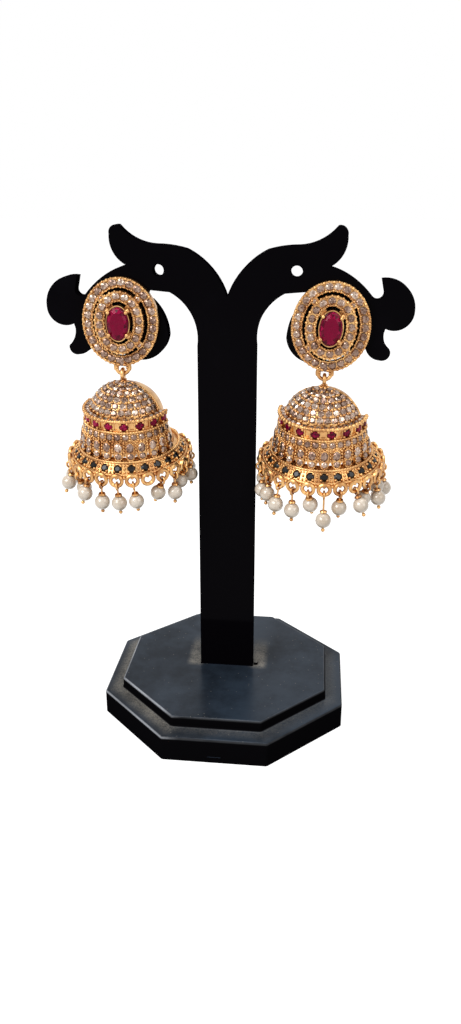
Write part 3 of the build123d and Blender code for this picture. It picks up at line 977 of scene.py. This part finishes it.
# painted shade of a stone, darker towards the bottom of the stud: low + (high - low) * its height
# up the stud, 0 to 1
def dressStud(side):
    outer, outerSizes, outerBeads = setStudRow(side, "outerRow")
    inner, innerSizes, innerBeads = setStudRow(side, "innerRow")
    bridgeX, bridgeZ, size, face = stud["bridge"]
    turns = np.radians((45, 135, 225, 315))
    bridges = onStud(side, bridgeX * np.cos(turns), bridgeZ * np.sin(turns), face)
    across, upward, radius = stud["shoulderStone"]
    shoulder = onStud(side, across, upward, stud["shoulderHeight"])
    stones = joinedPlaces(outer, inner, bridges, shoulder)
    sizes = np.concatenate([outerSizes, innerSizes, np.full(len(turns), size), [radius]])
    middle = onStud(side, 0, 0)[0]
    rise = 0.5 + (stones[0] - middle)[:, 2] / (2 * stud["outerRow"][1] * mm)
    low, high = stud["shade"]
    shade = low + (high - low) * rise
    setStones(f"{side}_stud_stones", stones, sizes, "stand", "clear_stone", shade)
    beads = outerBeads + innerBeads
    for across, upward, radius in stud["shoulderBeads"]:
        beads.append((onStud(side, across, upward, stud["shoulderHeight"]), radius))
    across, upward, height, radius = stud["claw"]
    x, z = np.array([(i, j) for i in (-across, across) for j in (-upward, upward)]).T
    beads.append((onStud(side, x, z, height), radius))
    setBeads(f"{side}_stud_beads", beads, "stand")
    cutRuby(side)


# the stud's oval stone: each level is the oval scaled, every second level
# turned half a step, with a flat table
def cutRuby(side):
    around = ovalRuby["around"]
    rings = (*ovalRuby["rings"], (ovalRuby["table"], ovalRuby["top"], 0))
    shape = skinLevels(cutLevels(rings, around) * (*ovalRuby["half"], 1))
    tone = paintedFacetReflections(1, len(shape[1]), ovalRuby["wholeShare"]) * ovalRuby["shade"]
    tone[-around:] = ovalRuby["tableTone"]
    arrays = scatter(shape, onStud(side, 0, 0), 1.0)
    piece = makePiece(f"{side}_oval_ruby", arrays, "stand", "red_stone", tone=tone)
    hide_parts(f"{side}_centre_ruby")


for side in sides:
    dressBell(side, f"{side}_jhumka")
    dressStud(side)
    print(side, "jhumka dressed")

studio = {
    "azimuth": 6.193,
    "elevation": 20.056,
    "target": (-0.00036, 0.0, 0.05812),
    "distance": 0.2043,
    "lens": 29.32,
    "shift": (0.0044, -0.0242),
    "nearest": 0.005,
    "world": 0.36,
    "key": ((-0.34, -0.42, 0.46), 0.36, 3.0),  # place, size, power
    "fill": ((0.40, -0.30, 0.30), 0.30, 0.6),
    "top": ((0.02, 0.10, 0.55), 0.35, 1.3),
    "floorHalf": 3.0,
    "floorGrain": 30.0,
    "floorTones": (0.42, 0.45),
    "floorWhite": 0.86,
}


# the camera looks along -back at the target, where
# back = (sin a cos e, -cos a cos e, sin e)
def placeCamera():
    a, e = math.radians(studio["azimuth"]), math.radians(studio["elevation"])
    back = np.array([math.sin(a) * math.cos(e), -math.cos(a) * math.cos(e), math.sin(e)])
    right = np.array([math.cos(a), math.sin(a), 0])
    up = np.cross(back, right)
    turned = np.eye(4)
    turned[:3, :3] = np.stack([right, up, back], 1)
    turned[:3, 3] = np.array(studio["target"]) + back * studio["distance"]
    data = bpy.data.cameras.new("camera")
    data.lens = studio["lens"]
    data.shift_x, data.shift_y = studio["shift"]
    data.clip_start = studio["nearest"]
    camera = bpy.data.objects.new("camera", data)
    camera.matrix_world = Matrix(turned.tolist())
    bpy.context.scene.collection.objects.link(camera)
    bpy.context.scene.camera = camera


# an area lamp that looks at the middle of the object
def placeLamp(name):
    place, size, power = studio[name]
    data = bpy.data.lights.new(name, "AREA")
    data.size = size
    data.energy = power
    lamp = bpy.data.objects.new(name, data)
    lamp.location = place
    low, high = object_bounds()
    aim = (low + high) / 2 - lamp.location
    lamp.rotation_euler = aim.to_track_quat("-Z", "Y").to_euler()
    bpy.context.scene.collection.objects.link(lamp)


# white wherever it is seen, straight or mirrored, and a plain grey light
# on everything else
def lightWorld():
    world = Shader("studioWorld", "worlds", "Background")
    plain = studio["world"]
    world.set(Color=(1, 1, 1), Strength=world.seen() * (1 - plain) + plain)
    bpy.context.scene.world = world.material


# the floor's own light makes it white wherever it is seen; the lamps' share of
# it is small, so the object's shadow stays faint
def layFloor():
    floor = Shader("paleFloor")
    grain = floor.noise(studio["floorGrain"], 3.0)
    low, high = ([tone] * 3 for tone in studio["floorTones"])
    white = [studio["floorWhite"]] * 3
    floor.set(
        Base_Color=floor.blend(grain, low, high),
        Roughness=0.9,
        Specular_IOR_Level=0.0,
        Emission_Color=floor.blend(floor.seen(), (0, 0, 0), white),
        Emission_Strength=1.0,
    )
    half = studio["floorHalf"]
    points = np.array([(-half, -half, 0), (half, -half, 0), (half, half, 0), (-half, half, 0)])
    mesh = bpy.data.meshes.new("floor")
    mesh.from_pydata(points.tolist(), [], [(0, 1, 2, 3)])
    mesh.materials.append(floor.material)
    ground = bpy.data.objects.new("floor", mesh)
    bpy.context.scene.collection.objects.link(ground)
    ground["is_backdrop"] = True


placeCamera()
lightWorld()
layFloor()
for name in ("key", "fill", "top"):
    placeLamp(name)
bpy.context.scene.view_settings.view_transform = "Standard"
print("studio ready")
